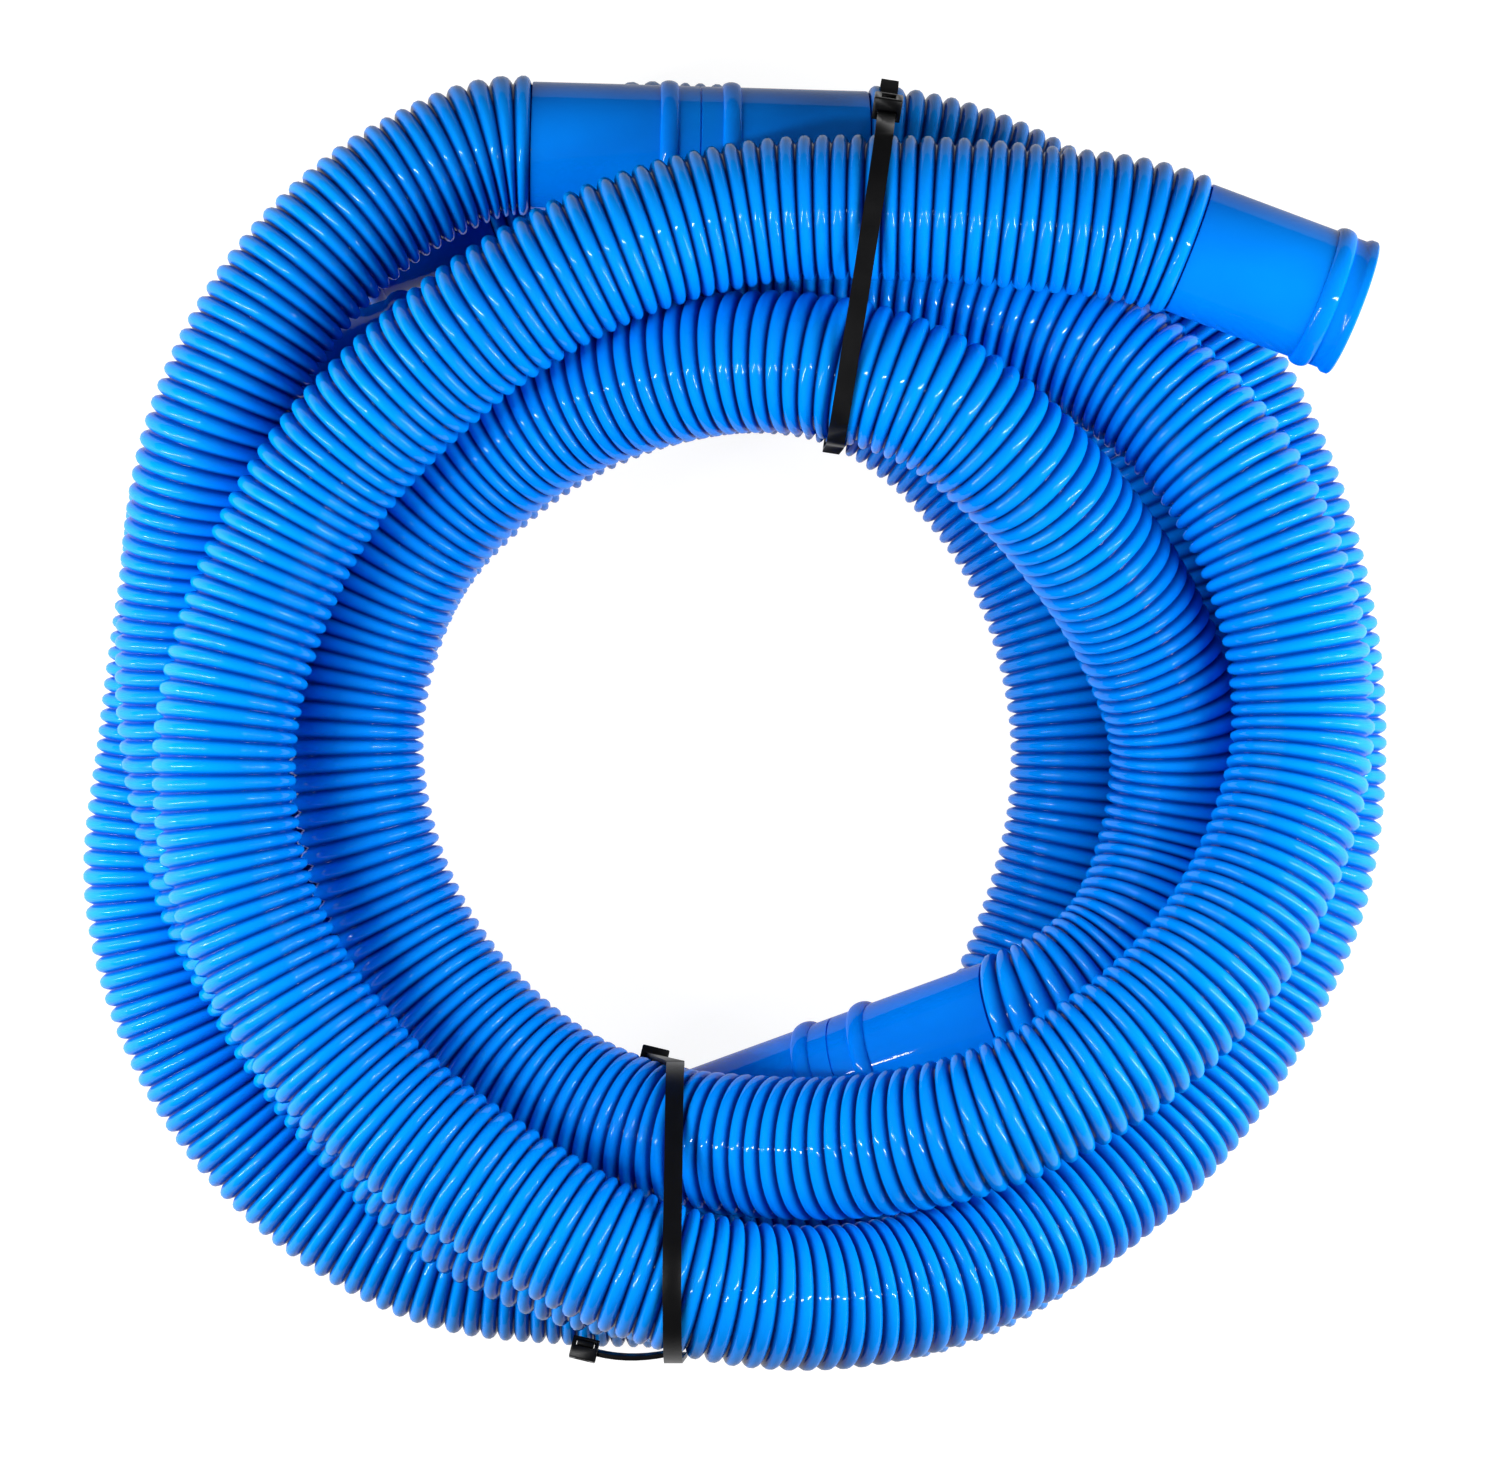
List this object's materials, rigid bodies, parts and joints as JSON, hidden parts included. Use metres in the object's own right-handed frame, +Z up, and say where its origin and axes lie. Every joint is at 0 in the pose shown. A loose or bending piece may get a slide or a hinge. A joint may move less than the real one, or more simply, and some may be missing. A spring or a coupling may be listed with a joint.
{
  "type": "vacuum hose",
  "caption": "Ribbed plastic suction hose in sections with smooth beaded cuffs, wound in a coil and held by black cable ties, one end free on top",
  "frame": {"origin": "on the floor under the middle of the coil's bounding box", "axes": "+Z up, the coil lies flat; +Y towards the top of the picture, where the end cuff and the first cable tie are; +X to its right"},
  "size_m": [0.3639, 0.3633, 0.1211],
  "materials": {
    "hose_blue": "soft glossy blue polyethylene",
    "cuff_blue": "the same blue plastic, smooth, a little more satin",
    "nylon_black": "black nylon with a faint sheen"
  },
  "bodies": {
    "coil": {"hose_free_end": "hose_blue", "hose_section_1": "hose_blue", "cuff_collar_1": "cuff_blue", "hose_section_2": "hose_blue", "cuff_collar_2": "cuff_blue", "hose_section_3": "hose_blue", "cuff_collar_3": "cuff_blue", "hose_section_4": "hose_blue", "far_end_cuff": "cuff_blue", "tie_1_strap": "nylon_black", "tie_1_head": "nylon_black", "tie_1_pawl": "nylon_black", "tie_2_strap": "nylon_black", "tie_2_head": "nylon_black", "tie_2_pawl": "nylon_black", "tie_3_strap": "nylon_black", "tie_3_head": "nylon_black", "tie_3_pawl": "nylon_black"},
    "free_end": {"end_cuff": "cuff_blue"}
  },
  "joints": [
    {"name": "free_end_flex", "type": "hinge", "parent": "coil", "child": "free_end", "pos_m": [0.08629, 0.13077, 0.10168], "axis": [-0.0987, -0.9951, 0], "range_deg": [0, 30], "stiffness_Nm_per_rad": 0.05, "deforming": ["hose_free_end"]}
  ]
}
